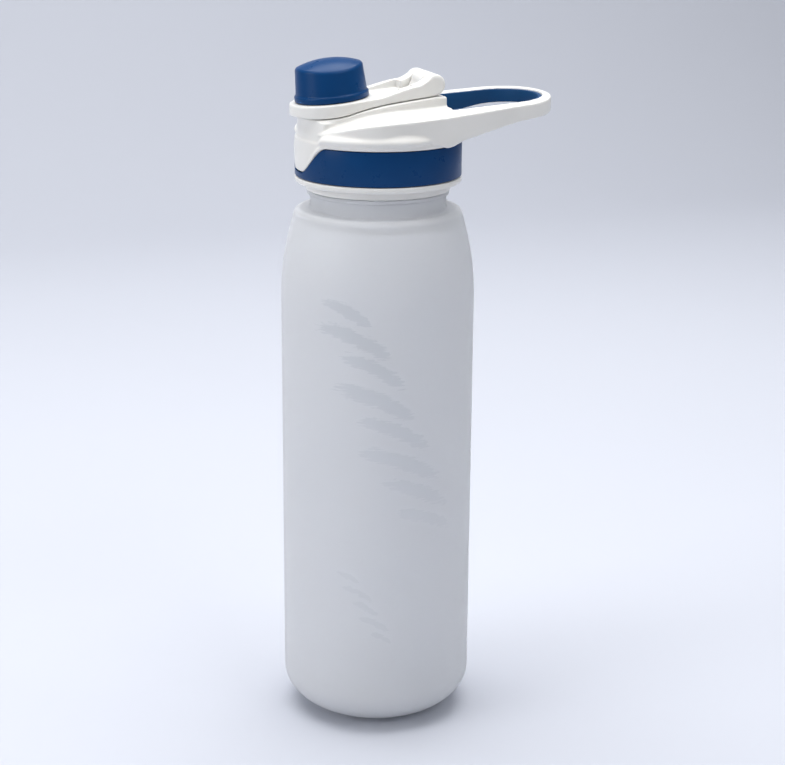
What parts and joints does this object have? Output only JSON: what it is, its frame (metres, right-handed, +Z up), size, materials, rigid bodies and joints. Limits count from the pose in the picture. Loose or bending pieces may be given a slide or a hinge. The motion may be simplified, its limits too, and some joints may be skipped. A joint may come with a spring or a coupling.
{
  "type": "sports drinking bottle",
  "caption": "Frosted sports bottle with a screw lid, a rigid carry loop and a flip strap whose knob closes the drinking spout.",
  "frame": {"origin": "centre of the foot, on the bottle's axis, at the level it stands on", "axes": "+Z up along the bottle's axis, +X from the spout towards the carry loop, -Y towards the viewer of the front"},
  "size_m": [0.1022, 0.073, 0.2557],
  "materials": {
    "frosted_bottle": "frosted translucent clear plastic, sprayed matt on the outside",
    "white_plastic": "satin moulded",
    "blue_plastic": "satin moulded",
    "blue_rubber": "soft satin overmould",
    "clear_silicone": "milky silicone",
    "pin_steel": "drawn pin"
  },
  "bodies": {
    "bottle": {"bottle_body": "frosted_bottle"},
    "gasket": {"cap_gasket": "clear_silicone"},
    "lid": {"screw_cap": "white_plastic", "collar_band": "blue_plastic", "lid_shell": "white_plastic", "loop_liner": "blue_rubber", "spout_seal": "clear_silicone", "drink_spout": "white_plastic", "hinge_pin": "pin_steel"},
    "flip": {"flip_strap": "white_plastic", "knob_cap": "blue_plastic", "knob_plug": "clear_silicone"}
  },
  "joints": [
    {"name": "lid_lift", "type": "slide", "parent": "bottle", "child": "gasket", "axis": [0, 0, 1], "range_m": [0, 0.006]},
    {"name": "lid_turn", "type": "hinge", "parent": "gasket", "child": "lid", "pos_m": [0, 0, 0.2246], "axis": [0, 0, 1], "range_deg": [0, 540]},
    {"name": "flip_hinge", "type": "hinge", "parent": "lid", "child": "flip", "pos_m": [0.0182, 0, 0.2458], "axis": [0, 1, 0], "range_deg": [0, 150]}
  ],
  "couplings": [
    {"joint": "lid_lift", "follows": "lid_turn", "m_per_rad": 0.00063662}
  ]
}
